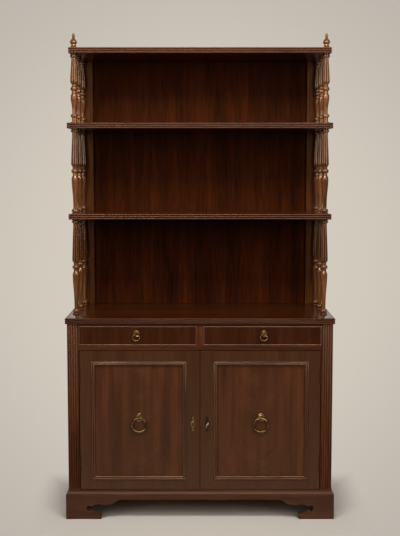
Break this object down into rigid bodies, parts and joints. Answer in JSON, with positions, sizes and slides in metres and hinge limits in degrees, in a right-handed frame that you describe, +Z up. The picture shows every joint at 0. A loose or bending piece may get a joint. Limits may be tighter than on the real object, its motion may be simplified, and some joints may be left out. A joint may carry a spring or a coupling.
{
  "type": "bookcase cupboard",
  "caption": "Mahogany bookcase cupboard: open shelves on turned columns above a base with drawers, panelled doors, ring pulls and bracket feet.",
  "frame": {"origin": "on the floor under the middle of the case", "axes": "+Z up, +X to the right as seen from the front, the front faces -Y"},
  "size_m": [1.012, 0.4715, 1.825],
  "materials": {
    "carcass_mahogany": "french polish",
    "shelf_mahogany": "french polish",
    "column_mahogany": "french polish",
    "back_mahogany": "worn polish",
    "plinth_mahogany": "french polish",
    "drawer_mahogany": "french polish",
    "door_mahogany": "french polish",
    "oak": "planed",
    "pine": "sawn",
    "aged_brass": "aged",
    "steel": "dull"
  },
  "bodies": {
    "case": {"back_panel": "back_mahogany", "back_stile_left": "back_mahogany", "back_stile_right": "back_mahogany", "base_back": "pine", "base_side_left": "carcass_mahogany", "base_side_right": "carcass_mahogany", "base_top": "carcass_mahogany", "bottom_board": "pine", "corner_post_left": "carcass_mahogany", "corner_post_right": "carcass_mahogany", "drawer_divider": "carcass_mahogany", "drawer_runners": "oak", "finials": "column_mahogany", "hinge_pins": "steel", "inner_shelf": "oak", "lower_columns": "column_mahogany", "lower_shelf": "shelf_mahogany", "mid_rail": "carcass_mahogany", "middle_columns": "column_mahogany", "middle_shelf": "shelf_mahogany", "plinth_back": "pine", "plinth_blocks": "pine", "plinth_front": "plinth_mahogany", "plinth_left": "plinth_mahogany", "plinth_right": "plinth_mahogany", "post_hinge_leaves": "aged_brass", "shelf_pegs": "oak", "top_rail": "carcass_mahogany", "top_shelf": "shelf_mahogany", "upper_columns": "column_mahogany"},
    "left_drawer": {"left_drawer_front": "drawer_mahogany", "left_drawer_bead": "drawer_mahogany", "left_drawer_box": "oak", "left_drawer_bottom": "oak", "left_drawer_rosette": "aged_brass"},
    "right_drawer": {"right_drawer_front": "drawer_mahogany", "right_drawer_bead": "drawer_mahogany", "right_drawer_box": "oak", "right_drawer_bottom": "oak", "right_drawer_rosette": "aged_brass"},
    "left_drawer_pull": {"left_drawer_ring": "aged_brass"},
    "right_drawer_pull": {"right_drawer_ring": "aged_brass"},
    "left_door": {"left_door_frame": "door_mahogany", "left_door_panel": "door_mahogany", "left_door_moulding": "door_mahogany", "left_door_hinge_leaves": "aged_brass", "left_door_rosette": "aged_brass", "left_door_escutcheon": "aged_brass"},
    "right_door": {"right_door_frame": "door_mahogany", "right_door_panel": "door_mahogany", "right_door_moulding": "door_mahogany", "right_door_hinge_leaves": "aged_brass", "right_door_rosette": "aged_brass", "right_door_escutcheon": "aged_brass", "lock_case": "steel"},
    "left_door_pull": {"left_door_ring": "aged_brass"},
    "right_door_pull": {"right_door_ring": "aged_brass"},
    "door_key": {"key": "steel"},
    "bolt": {"lock_bolt": "steel"}
  },
  "joints": [
    {"name": "left_drawer_slide", "type": "slide", "parent": "case", "child": "left_drawer", "axis": [0, -1, 0], "range_m": [0, 0.3]},
    {"name": "left_drawer_ring_swing", "type": "hinge", "parent": "left_drawer", "child": "left_drawer_pull", "pos_m": [-0.238, -0.2218, 0.707], "axis": [-1, 0, 0], "range_deg": [0, 95]},
    {"name": "left_door_swing", "type": "hinge", "parent": "case", "child": "left_door", "pos_m": [-0.4513, -0.2179, 0.377], "axis": [0, 0, -1], "range_deg": [0, 165]},
    {"name": "left_door_ring_swing", "type": "hinge", "parent": "left_door", "child": "left_door_pull", "pos_m": [-0.229, -0.2175, 0.3855], "axis": [-1, 0, 0], "range_deg": [0, 95]},
    {"name": "right_drawer_slide", "type": "slide", "parent": "case", "child": "right_drawer", "axis": [0, -1, 0], "range_m": [0, 0.3]},
    {"name": "right_drawer_ring_swing", "type": "hinge", "parent": "right_drawer", "child": "right_drawer_pull", "pos_m": [0.238, -0.2218, 0.707], "axis": [-1, 0, 0], "range_deg": [0, 95]},
    {"name": "right_door_swing", "type": "hinge", "parent": "case", "child": "right_door", "pos_m": [0.4513, -0.2179, 0.377], "axis": [0, 0, 1], "range_deg": [0, 165]},
    {"name": "right_door_ring_swing", "type": "hinge", "parent": "right_door", "child": "right_door_pull", "pos_m": [0.229, -0.2175, 0.3855], "axis": [-1, 0, 0], "range_deg": [0, 95]},
    {"name": "key_turn", "type": "hinge", "parent": "right_door", "child": "door_key", "pos_m": [0.027, -0.22, 0.364], "axis": [0, -1, 0], "range_deg": [-24, 156]},
    {"name": "bolt_slide", "type": "slide", "parent": "right_door", "child": "bolt", "axis": [-1, 0, 0], "range_m": [-0.00125, 0.00785]}
  ],
  "couplings": [
    {"joint": "bolt_slide", "follows": "key_turn", "m_per_rad": 0.0028648}
  ]
}
